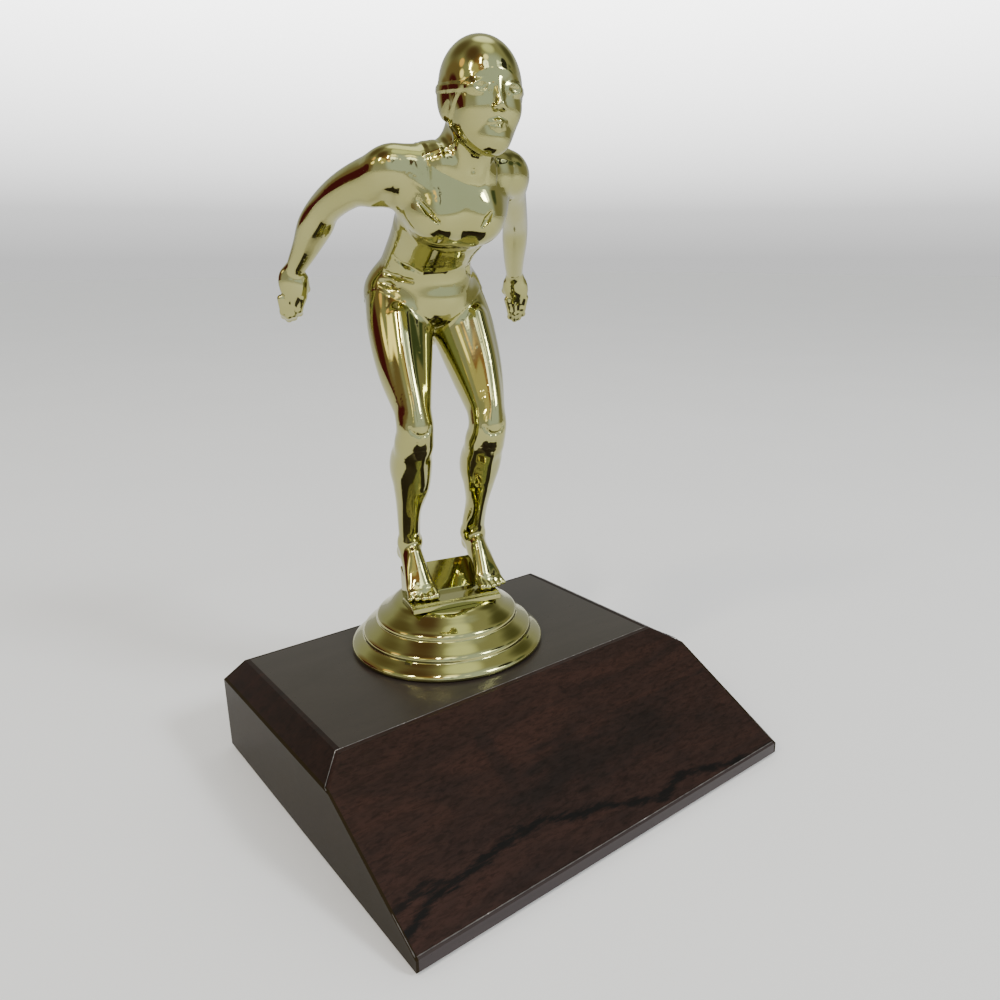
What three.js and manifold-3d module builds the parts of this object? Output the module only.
// Figure trophy: a moulded, metallised swimmer on a starting block and a stepped round
// pedestal, bolted through a slant-front laminated base. Millimetres, +Z up, +Y to the back.
import * as THREE from "three";
import { mergeVertices } from "three/addons/utils/BufferGeometryUtils.js";
import Module from "manifold-3d";

const wasm = await Module();
wasm.setup();

// ---- Base block ----
const BASE_WIDTH = 108;
const BASE_DEPTH = 95.25;
const BOARD_HEIGHT = 22.6;
const SLANT_RUN = 40.2;
const LIP_HEIGHT = 2.7;
const BEVEL_WIDTH = 5.9;
const BEVEL_DROP = 3.5;
const LAMINATE = 0.6;
const FELT_THICKNESS = 0.8;
const FELT_INSET = 2.5;
const FELT_HOLE_RADIUS = 8.35;
const BASE_TOP = FELT_THICKNESS + BOARD_HEIGHT;

// ---- Where the figure stands on the base, and how far it is turned ----
const FIGURE_X = 0.5;
const FIGURE_Y = 24.6;
const FIGURE_TURN = THREE.MathUtils.degToRad(-13);

// ---- Bolt stack, from below ----
const BOLT_RADIUS = 3.1;
const BOLT_HOLE_RADIUS = 3.6;
const COUNTERBORE_RADIUS = 8.2;
const COUNTERBORE_DEPTH = 9;
const WASHER_RADIUS = 7.9;
const WASHER_THICKNESS = 1.4;
const SPRING_WASHER_RADIUS = 5.6;
const SPRING_WASHER_THICKNESS = 1.5;
const BOLT_HEAD_FLATS = 11.1;
const BOLT_HEAD_HEIGHT = 4;
const BOLT_REACH = 9.5;
const INSERT_RADIUS = 4.6;
const INSERT_BOTTOM = 0.6;
const INSERT_TOP = 10.2;
const FIT_GAP = 0.3;
const CUT_PAST = 1;

// ---- Pedestal, heights above the base's top ----
const PEDESTAL_RADIUS = 26;
const PEDESTAL_HEIGHT = 13.4;
const PEDESTAL_WALL = 1.8;
const BOSS_RADIUS = 7.2;
const RIB_COUNT = 4;
const RIB_THICKNESS = 1.6;
const RIB_FOOT = 0.8;
const LATHE_SEGMENTS = 48;

// The outer profile as [radius, height], from the foot's edge up over two raised rims.
const PEDESTAL_PROFILE = [
  [25.3, 0], [25.9, 0.6], [PEDESTAL_RADIUS, 1.2], [25.6, 1.9], [24.9, 2.4], [24.0, 3.2],
  [23.2, 4.2], [22.7, 4.9], [22.4, 5.6], [21.8, 6.1], [20.8, 6.7], [19.6, 7.6],
  [18.7, 8.6], [18.3, 9.2], [17.9, 9.8], [17.2, 10.3], [16.2, 11.0], [15.3, 12.0],
  [14.9, 12.8], [14.4, PEDESTAL_HEIGHT],
];

// ---- Starting block, in the figure's own frame ----
const BLOCK_X = -0.3;
const LEDGE_WIDTH = 24.6;
const RAMP_WIDTH = 20.4;
const LEDGE_UNDER_RAMP = 1;
const BLOCK_FRONT = -10;
const BLOCK_BACK = 7.5;
const LEDGE_HEIGHT = 15.2;
const LEDGE_BACK = -1.5;
const RAMP_HEIGHT = 20.6;

// ---- Swimmer ----
const LIMB_SEGMENTS = 14;
const CAP_RINGS = 2;
const SHELL_WALL = 2.2;
const SEAM_GAP = 0.1;

// Each station is [x, y, z, half width, half depth] in the figure's own frame:
// x to the figure's left, y to its back, z above the base's top.
const TORSO = [
  [0.4, 11.0, 86.5, 8.5, 6.5],
  [0.5, 10.0, 92.5, 13.2, 8.6],
  [0.0, 5.5, 98.5, 11.8, 8.0],
  [-0.4, 0.5, 103.5, 10.2, 7.2],
  [0.0, -6.0, 108.5, 10.9, 7.9],
  [0.4, -12.5, 114.0, 12.2, 8.4],
  [1.2, -17.0, 118.6, 12.4, 6.6],
  [2.2, -19.6, 121.6, 7.2, 4.6],
];
const NECK = [
  [1.9, -18.0, 119.0, 4.8, 4.8],
  [2.5, -21.0, 123.2, 4.2, 4.2],
  [2.8, -24.0, 129.0, 4.3, 4.6],
];
const RIGHT_LEG = [
  [-6.4, 9.2, 93.0, 8.0, 8.4],
  [-7.4, 4.2, 84.5, 7.7, 8.4],
  [-9.0, -2.2, 75.2, 6.6, 7.2],
  [-10.1, -9.2, 66.6, 4.8, 5.3],
  [-10.6, -11.4, 61.6, 4.1, 4.6],
  [-10.1, -7.2, 54.6, 5.1, 5.4],
  [-9.7, -4.0, 49.0, 5.0, 5.0],
  [-8.9, 0.8, 39.6, 3.4, 3.5],
  [-8.1, 4.6, 31.5, 2.9, 3.3],
  [-8.0, 6.4, 27.0, 3.1, 3.9],
];
const LEFT_LEG = [
  [7.8, 9.2, 93.0, 8.0, 8.4],
  [9.2, 4.2, 84.0, 7.7, 8.4],
  [10.1, -2.2, 73.6, 6.5, 7.2],
  [9.3, -9.8, 64.6, 4.6, 5.2],
  [8.5, -11.5, 60.4, 4.2, 4.6],
  [8.9, -7.2, 53.8, 5.2, 5.4],
  [9.2, -4.0, 48.2, 4.9, 5.0],
  [10.0, 0.8, 38.8, 3.2, 3.5],
  [10.4, 4.8, 31.2, 3.0, 3.3],
  [10.6, 6.6, 27.0, 3.2, 3.9],
];
const RIGHT_ARM = [
  [-10.0, -16.0, 118.4, 5.2, 5.2],
  [-14.5, -13.5, 118.6, 4.9, 4.8],
  [-19.5, -4.0, 116.0, 3.9, 4.2],
  [-24.4, 5.6, 112.8, 3.2, 3.4],
  [-26.8, 9.6, 109.0, 3.6, 3.4],
  [-29.0, 15.0, 103.6, 2.9, 2.8],
  [-30.4, 18.6, 99.0, 2.5, 2.0],
];
const LEFT_ARM = [
  [12.0, -16.0, 119.4, 5.2, 5.2],
  [16.0, -13.2, 119.4, 4.8, 4.8],
  [20.6, -3.2, 114.6, 3.8, 4.1],
  [25.4, 7.4, 109.6, 3.1, 3.3],
  [28.2, 13.0, 105.4, 3.5, 3.3],
  [31.2, 20.0, 99.9, 2.8, 2.7],
  [33.0, 24.6, 96.4, 2.5, 2.0],
];
const RIGHT_FIST = [-29.9, 20.4, 93.4];
const LEFT_FIST = [34.6, 27.4, 92.4];
const FIST_RADII = [3.9, 3.4, 4.6];
const PALM = [0, 0, 1.2];
const FINGER_ROWS = [-2.1, -0.6, 0.9, 2.4];
const FINGER_OUT = 0.4;
const FINGER_DROP = -2.6;
const FINGER_RADII = [2.2, 0.9, 2.2];
const THUMB = [-1.2, -3, 0.6];
const THUMB_RADII = [1.2, 1.3, 2.8];
// Feet. SOLE is [outward, back, up, half width, half height]; TOES is [outward, tip, half width].
const SOLE = [
  [0, 9.4, 23.6, 2.7, 2.6], [0, 6.4, 24.8, 2.9, 3.8], [0.3, 1.8, 21.6, 3.3, 3.6],
  [0.5, -2.6, 18.2, 3.7, 2.4],
];
const TOES = [
  [-2.3, -7, 1.1], [-0.9, -7.4, 0.8], [0.5, -7.1, 0.8], [1.8, -6.6, 0.8], [3, -5.9, 0.8],
];
const TOE_LENGTH = 2.4;
const TOE_HEIGHT = 16.4;
const TOE_THICKNESS = 1.1;
const HEAD = [2.8, -26.6, 134.0];
const HEAD_RADII = [8.4, 9.8, 10.9];
const JAW = [2.9, -30.4, 128.2];
const JAW_RADII = [6.2, 6.0, 6.2];
const NOSE = [2.9, -37.0, 131.4];
const NOSE_RADII = [1.3, 1.6, 2.3];
const GOGGLE_OFFSET = [3.3, -35.0, 134.3];
const GOGGLE_RADII = [2.7, 1.3, 1.7];
const TORSO_MIDDLE = 0.6;
const BUST_OFFSET = [5.4, -18.6, 110.6];
const BUST_RADII = [5.6, 5.4, 5.2];
const BUTTOCK_OFFSET = [6.6, 14.4, 91.4];
const BUTTOCK_RADII = [6.9, 6.6, 7.4];

// The mould's parting line seen from the side, as [y, z] from the feet to above the head.
const PARTING_LINE = [
  [-3, 0], [-3, 19], [6, 27], [1, 39], [-6, 52], [-11, 61], [-3, 75], [6, 88], [7, 96],
  [0, 103], [-6, 109], [-14, 115], [-16, 119], [-22, 125], [-26, 132], [-27, 160],
];
const REACH = 80;

const MATERIALS = {
  metallised: { color: 0xb9b06a, roughness: 0.12, metalness: 1 },
  rosewood: { color: 0x3b2420, roughness: 0.35, metalness: 0 },
  satinBrown: { color: 0x4c443c, roughness: 0.4, metalness: 0 },
  board: { color: 0x8a6a48, roughness: 0.85, metalness: 0 },
  felt: { color: 0x1f3a2b, roughness: 1, metalness: 0 },
  zinc: { color: 0xa9abae, roughness: 0.35, metalness: 1 },
  brass: { color: 0xb08d3e, roughness: 0.3, metalness: 1 },
};

// ---------------------------------------------------------------- helpers

function toManifold(geometry) {
  const bare = geometry.clone();
  bare.deleteAttribute("normal");
  bare.deleteAttribute("uv");
  const merged = mergeVertices(bare, 1e-4);
  return new wasm.Manifold(new wasm.Mesh({
    numProp: 3,
    vertProperties: new Float32Array(merged.attributes.position.array),
    triVerts: new Uint32Array(merged.index.array),
  }));
}

function toGeometry(solid) {
  const mesh = solid.getMesh();
  const geometry = new THREE.BufferGeometry();
  geometry.setAttribute("position", new THREE.BufferAttribute(mesh.vertProperties, 3));
  geometry.setIndex(new THREE.BufferAttribute(mesh.triVerts, 1));
  return geometry;
}

function part(name, shape, material) {
  const geometry = shape.isBufferGeometry ? shape : toGeometry(shape);
  geometry.computeVertexNormals();
  const mesh = new THREE.Mesh(geometry, new THREE.MeshStandardMaterial(MATERIALS[material]));
  mesh.name = name;
  return mesh;
}

function box(xMin, xMax, yMin, yMax, zMin, zMax) {
  const geometry = new THREE.BoxGeometry(xMax - xMin, yMax - yMin, zMax - zMin);
  geometry.translate((xMin + xMax) / 2, (yMin + yMax) / 2, (zMin + zMax) / 2);
  return toManifold(geometry);
}

function cylinder(radius, zMin, zMax, segments = 48) {
  const geometry = new THREE.CylinderGeometry(radius, radius, zMax - zMin, segments);
  geometry.rotateX(Math.PI / 2);
  geometry.translate(0, 0, (zMin + zMax) / 2);
  return toManifold(geometry);
}

function ellipsoid([x, y, z], [rx, ry, rz], segments = 18, rings = 12) {
  const geometry = new THREE.SphereGeometry(1, segments, rings);
  geometry.rotateX(Math.PI / 2);
  geometry.scale(rx, ry, rz);
  geometry.translate(x, y, z);
  return toManifold(geometry);
}

// A profile of [y, z] points, extruded along X from xMin to xMax.
function sideExtrusion(points, xMin, xMax) {
  const shape = new THREE.Shape(points.map(([y, z]) => new THREE.Vector2(y, z)));
  const geometry = new THREE.ExtrudeGeometry(shape, { depth: xMax - xMin, bevelEnabled: false });
  geometry.applyMatrix4(new THREE.Matrix4().makeBasis(
    new THREE.Vector3(0, 1, 0), new THREE.Vector3(0, 0, 1), new THREE.Vector3(1, 0, 0)));
  geometry.translate(xMin, 0, 0);
  return toManifold(geometry);
}

// A profile of [x, z] points, extruded along Y from yMin to yMax.
function frontExtrusion(points, yMin, yMax) {
  const shape = new THREE.Shape(points.map(([x, z]) => new THREE.Vector2(x, z)));
  const geometry = new THREE.ExtrudeGeometry(shape, { depth: yMax - yMin, bevelEnabled: false });
  geometry.applyMatrix4(new THREE.Matrix4().makeBasis(
    new THREE.Vector3(1, 0, 0), new THREE.Vector3(0, 0, 1), new THREE.Vector3(0, -1, 0)));
  geometry.translate(0, yMax, 0);
  return toManifold(geometry);
}

function lathe(profile, segments = LATHE_SEGMENTS) {
  const points = profile.map(([radius, z]) => new THREE.Vector2(radius, z));
  const geometry = new THREE.LatheGeometry(points, segments);
  geometry.rotateX(Math.PI / 2);
  return toManifold(geometry);
}

function joined(solids) {
  return wasm.Manifold.union(solids);
}

// A closed loft of elliptical rings along a smooth curve through the stations, with both
// ends rounded off. `inset` makes the same limb thinner all round.
function limb(stations, { steps = 3, inset = 0, segments = LIMB_SEGMENTS } = {}) {
  const path = new THREE.CatmullRomCurve3(stations.map(([x, y, z]) => new THREE.Vector3(x, y, z)));
  const radii = new THREE.CatmullRomCurve3(
    stations.map(([, , , wide, deep]) => new THREE.Vector3(wide - inset, deep - inset, 0)));
  const rings = [];
  const count = (stations.length - 1) * steps;
  const addRing = (t, along, shrink) => {
    const tangent = path.getTangent(t);
    const side = new THREE.Vector3(1, 0, 0).addScaledVector(tangent, -tangent.x).normalize();
    const front = new THREE.Vector3().crossVectors(tangent, side);
    const radius = radii.getPoint(t);
    const centre = path.getPoint(t).addScaledVector(tangent, along * radius.y);
    rings.push({ centre, side, front, wide: radius.x * shrink, deep: radius.y * shrink });
  };
  for (let i = CAP_RINGS; i >= 1; i--) {
    const angle = (i / (CAP_RINGS + 0.5)) * (Math.PI / 2);
    addRing(0, -Math.sin(angle) * 0.7, Math.cos(angle));
  }
  for (let i = 0; i <= count; i++) {
    addRing(i / count, 0, 1);
  }
  for (let i = 1; i <= CAP_RINGS; i++) {
    const angle = (i / (CAP_RINGS + 0.5)) * (Math.PI / 2);
    addRing(1, Math.sin(angle) * 0.7, Math.cos(angle));
  }
  return ringLoft(rings, segments);
}

function ringLoft(rings, segments) {
  const positions = [];
  const index = [];
  for (const ring of rings) {
    for (let k = 0; k < segments; k++) {
      const angle = (k / segments) * 2 * Math.PI;
      const point = ring.centre.clone();
      point.addScaledVector(ring.side, Math.cos(angle) * ring.wide);
      point.addScaledVector(ring.front, Math.sin(angle) * ring.deep);
      positions.push(point.x, point.y, point.z);
    }
  }
  for (let r = 0; r < rings.length - 1; r++) {
    for (let k = 0; k < segments; k++) {
      const next = (k + 1) % segments;
      const a = r * segments + k;
      const b = r * segments + next;
      const c = a + segments;
      const d = b + segments;
      index.push(a, b, c, b, d, c);
    }
  }
  const last = (rings.length - 1) * segments;
  for (let k = 1; k < segments - 1; k++) {
    index.push(0, k + 1, k);
    index.push(last, last + k, last + k + 1);
  }
  const geometry = new THREE.BufferGeometry();
  geometry.setAttribute("position", new THREE.Float32BufferAttribute(positions, 3));
  geometry.setIndex(index);
  return toManifold(geometry);
}

// ---------------------------------------------------------------- base block

// The block's outer shape: its side outline crossed with its bevelled front outline.
function blockBody() {
  const deep = BASE_DEPTH / 2;
  const wide = BASE_WIDTH / 2;
  const side = [
    [-deep, FELT_THICKNESS], [deep, FELT_THICKNESS], [deep, BASE_TOP],
    [SLANT_RUN - deep, BASE_TOP], [-deep, FELT_THICKNESS + LIP_HEIGHT],
  ];
  const front = [
    [-wide, FELT_THICKNESS], [wide, FELT_THICKNESS], [wide, BASE_TOP - BEVEL_DROP],
    [wide - BEVEL_WIDTH, BASE_TOP], [BEVEL_WIDTH - wide, BASE_TOP], [-wide, BASE_TOP - BEVEL_DROP],
  ];
  return sideExtrusion(side, -REACH, REACH).intersect(frontExtrusion(front, -REACH, REACH));
}

function boltHole(radius, zMin, zMax) {
  return cylinder(radius, zMin, zMax).translate([FIGURE_X, FIGURE_Y, 0]);
}

// Each laminated face as [name, outward direction, a point on the face, finish].
function laminatedFaces() {
  const wide = BASE_WIDTH / 2;
  const deep = BASE_DEPTH / 2;
  const slant = [0, LIP_HEIGHT - BOARD_HEIGHT, SLANT_RUN];
  return [
    ["left_side_laminate", [-1, 0, 0], [-wide, 0, 0], "satinBrown"],
    ["right_side_laminate", [1, 0, 0], [wide, 0, 0], "satinBrown"],
    ["rear_laminate", [0, 1, 0], [0, deep, 0], "satinBrown"],
    ["front_lip_band", [0, -1, 0], [0, -deep, 0], "rosewood"],
    ["front_slant_laminate", slant, [0, -deep, FELT_THICKNESS + LIP_HEIGHT], "rosewood"],
    ["left_bevel_laminate", [-BEVEL_DROP, 0, BEVEL_WIDTH], [-wide, 0, BASE_TOP - BEVEL_DROP], "rosewood"],
    ["right_bevel_laminate", [BEVEL_DROP, 0, BEVEL_WIDTH], [wide, 0, BASE_TOP - BEVEL_DROP], "rosewood"],
    ["top_laminate", [0, 0, 1], [0, 0, BASE_TOP], "satinBrown"],
  ];
}

// Peels the block one face at a time, so that each laminate sheet butts against the last.
function baseBlock() {
  const hole = boltHole(BOLT_HOLE_RADIUS, -CUT_PAST, BASE_TOP + CUT_PAST);
  const pieces = [];
  let remaining = blockBody();
  for (const [name, direction, point, finish] of laminatedFaces()) {
    const normal = new THREE.Vector3(...direction).normalize();
    const depth = normal.dot(new THREE.Vector3(...point)) - LAMINATE;
    const [sheet, rest] = remaining.splitByPlane(normal.toArray(), depth);
    pieces.push(part(name, sheet.subtract(hole), finish));
    remaining = rest;
  }
  const counterbore = boltHole(COUNTERBORE_RADIUS, -CUT_PAST, FELT_THICKNESS + COUNTERBORE_DEPTH);
  pieces.push(part("base_core", remaining.subtract(hole).subtract(counterbore), "board"));
  return pieces;
}

function feltPad() {
  const wide = BASE_WIDTH / 2 - FELT_INSET;
  const deep = BASE_DEPTH / 2 - FELT_INSET;
  const sheet = box(-wide, wide, -deep, deep, 0, FELT_THICKNESS);
  const hole = boltHole(FELT_HOLE_RADIUS, -CUT_PAST, FELT_THICKNESS + CUT_PAST);
  return part("felt_pad", sheet.subtract(hole), "felt");
}

// ---------------------------------------------------------------- pedestal and bolt stack

function pedestal() {
  const outer = lathe([[0, 0], ...PEDESTAL_PROFILE, [0, PEDESTAL_HEIGHT]]);
  const ceiling = PEDESTAL_HEIGHT - PEDESTAL_WALL;
  const inside = PEDESTAL_PROFILE
    .map(([radius, z]) => [radius - PEDESTAL_WALL, z - PEDESTAL_WALL * 0.6])
    .filter(([, z]) => z > 0 && z < ceiling);
  const mouth = [PEDESTAL_PROFILE[0][0] - PEDESTAL_WALL, -CUT_PAST];
  const hollow = lathe([[0, -CUT_PAST], mouth, ...inside, [0, ceiling]]);
  const ribs = [];
  for (let i = 0; i < RIB_COUNT; i++) {
    const rib = box(0, PEDESTAL_RADIUS, -RIB_THICKNESS / 2, RIB_THICKNESS / 2, RIB_FOOT, PEDESTAL_HEIGHT);
    ribs.push(rib.rotate([0, 0, 45 + (i * 360) / RIB_COUNT]));
  }
  const inner = joined([cylinder(BOSS_RADIUS, 0, PEDESTAL_HEIGHT), ...ribs]).intersect(outer);
  const bell = outer.subtract(hollow).add(inner);
  return part("pedestal", bell.subtract(cylinder(INSERT_RADIUS, -CUT_PAST, INSERT_TOP)), "metallised");
}

function threadedInsert() {
  const body = cylinder(INSERT_RADIUS - FIT_GAP, INSERT_BOTTOM, INSERT_TOP - FIT_GAP, 32);
  return part("threaded_insert", body.subtract(cylinder(BOLT_RADIUS + FIT_GAP, 0, INSERT_TOP)), "brass");
}

function washer(name, radius, zMin, thickness) {
  const ring = cylinder(radius, zMin, zMin + thickness, 40);
  const bore = cylinder(BOLT_RADIUS + FIT_GAP, zMin - CUT_PAST, zMin + thickness + CUT_PAST);
  return part(name, ring.subtract(bore), "zinc");
}

// Heights here are below the base's top, where the pedestal stands.
function boltStack() {
  const seat = -BOARD_HEIGHT + COUNTERBORE_DEPTH;
  const springTop = seat - WASHER_THICKNESS;
  const headTop = springTop - SPRING_WASHER_THICKNESS;
  const headRadius = BOLT_HEAD_FLATS / Math.sqrt(3);
  const head = cylinder(headRadius, headTop - BOLT_HEAD_HEIGHT, headTop, 6);
  const bolt = head.add(cylinder(BOLT_RADIUS, headTop - CUT_PAST, BOLT_REACH, 32));
  const spring = washer("lock_washer", SPRING_WASHER_RADIUS, headTop, SPRING_WASHER_THICKNESS);
  const flat = washer("flat_washer", WASHER_RADIUS, springTop, WASHER_THICKNESS);
  return [part("mounting_bolt", bolt, "zinc"), spring, flat];
}

// ---------------------------------------------------------------- starting block and swimmer

function startingBlockBody() {
  const ledgeEnd = LEDGE_BACK + LEDGE_UNDER_RAMP;
  const ledge = [
    [BLOCK_FRONT, PEDESTAL_HEIGHT], [ledgeEnd, PEDESTAL_HEIGHT], [ledgeEnd, LEDGE_HEIGHT],
    [BLOCK_FRONT, LEDGE_HEIGHT],
  ];
  const ramp = [
    [LEDGE_BACK, PEDESTAL_HEIGHT], [BLOCK_BACK, PEDESTAL_HEIGHT], [BLOCK_BACK, RAMP_HEIGHT],
    [LEDGE_BACK, LEDGE_HEIGHT],
  ];
  const across = (profile, width) => sideExtrusion(profile, BLOCK_X - width / 2, BLOCK_X + width / 2);
  return across(ledge, LEDGE_WIDTH).add(across(ramp, RAMP_WIDTH));
}

// A foot on the ramp: heel, instep and ball as one loft, then five toes on the ledge.
function foot(x, spread) {
  const sole = SOLE.map(([out, ...rest]) => [x + spread * out, ...rest]);
  const toes = TOES.map(([out, tip, width]) => {
    const centre = [x + spread * out, tip + TOE_LENGTH, TOE_HEIGHT];
    return ellipsoid(centre, [width, TOE_LENGTH, TOE_THICKNESS], 8, 6);
  });
  return joined([limb(sole, { steps: 3, segments: 14 }), ...toes]);
}

// A loosely closed hand: the palm, four curled fingers and the thumb beside them.
function fist([x, y, z], side) {
  const near = ([out, back, up], radii, around, rings) =>
    ellipsoid([x + side * out, y + back, z + up], radii, around, rings);
  const fingers = FINGER_ROWS.map((back) => near([FINGER_OUT, back, FINGER_DROP], FINGER_RADII, 8, 6));
  return joined([near(PALM, FIST_RADII, 14, 10), ...fingers, near(THUMB, THUMB_RADII, 8, 6)]);
}

// The same ellipsoid to the left and right of the torso's middle.
function pair([offset, y, z], radii) {
  return [-offset, offset].map((x) => ellipsoid([TORSO_MIDDLE + x, y, z], radii));
}

function head() {
  const [offset, y, z] = GOGGLE_OFFSET;
  const goggles = [-offset, offset].map((x) => ellipsoid([HEAD[0] + x, y, z], GOGGLE_RADII, 12, 8));
  return joined([
    ellipsoid(HEAD, HEAD_RADII, 24, 16),
    ellipsoid(JAW, JAW_RADII, 18, 12),
    ellipsoid(NOSE, NOSE_RADII, 10, 8),
    ...goggles,
  ]);
}

function swimmerBody() {
  return joined([
    limb(TORSO, { segments: 24 }),
    limb(NECK, { steps: 2 }),
    limb(RIGHT_LEG),
    limb(LEFT_LEG),
    limb(RIGHT_ARM, { steps: 2 }),
    limb(LEFT_ARM, { steps: 2 }),
    ...pair(BUST_OFFSET, BUST_RADII),
    ...pair(BUTTOCK_OFFSET, BUTTOCK_RADII),
    foot(-8.2, -1),
    foot(10.6, 1),
    fist(RIGHT_FIST, 1),
    fist(LEFT_FIST, -1),
    head(),
  ]);
}

// Everything in front of the mould's parting line, moved back by `shift`.
function frontSide(shift) {
  const outline = [[-REACH, 0], ...PARTING_LINE, [-REACH, 160]];
  return sideExtrusion(outline.map(([y, z]) => [y + shift, z]), -REACH, REACH);
}

function swimmerShells() {
  const hollow = limb(TORSO.slice(1, -1), { inset: SHELL_WALL, segments: 20, steps: 2 });
  const body = swimmerBody().subtract(startingBlockBody()).subtract(hollow);
  return [
    part("swimmer_front_shell", body.intersect(frontSide(-SEAM_GAP / 2)), "metallised"),
    part("swimmer_back_shell", body.subtract(frontSide(SEAM_GAP / 2)), "metallised"),
  ];
}

// ---------------------------------------------------------------- assembly

const trophy = new THREE.Group();
trophy.add(...baseBlock(), feltPad());

const figure = new THREE.Group();
figure.position.set(FIGURE_X, FIGURE_Y, BASE_TOP);
figure.rotation.z = FIGURE_TURN;
figure.add(pedestal(), threadedInsert(), ...boltStack());
figure.add(part("starting_block", startingBlockBody(), "metallised"), ...swimmerShells());
trophy.add(figure);

export default trophy;
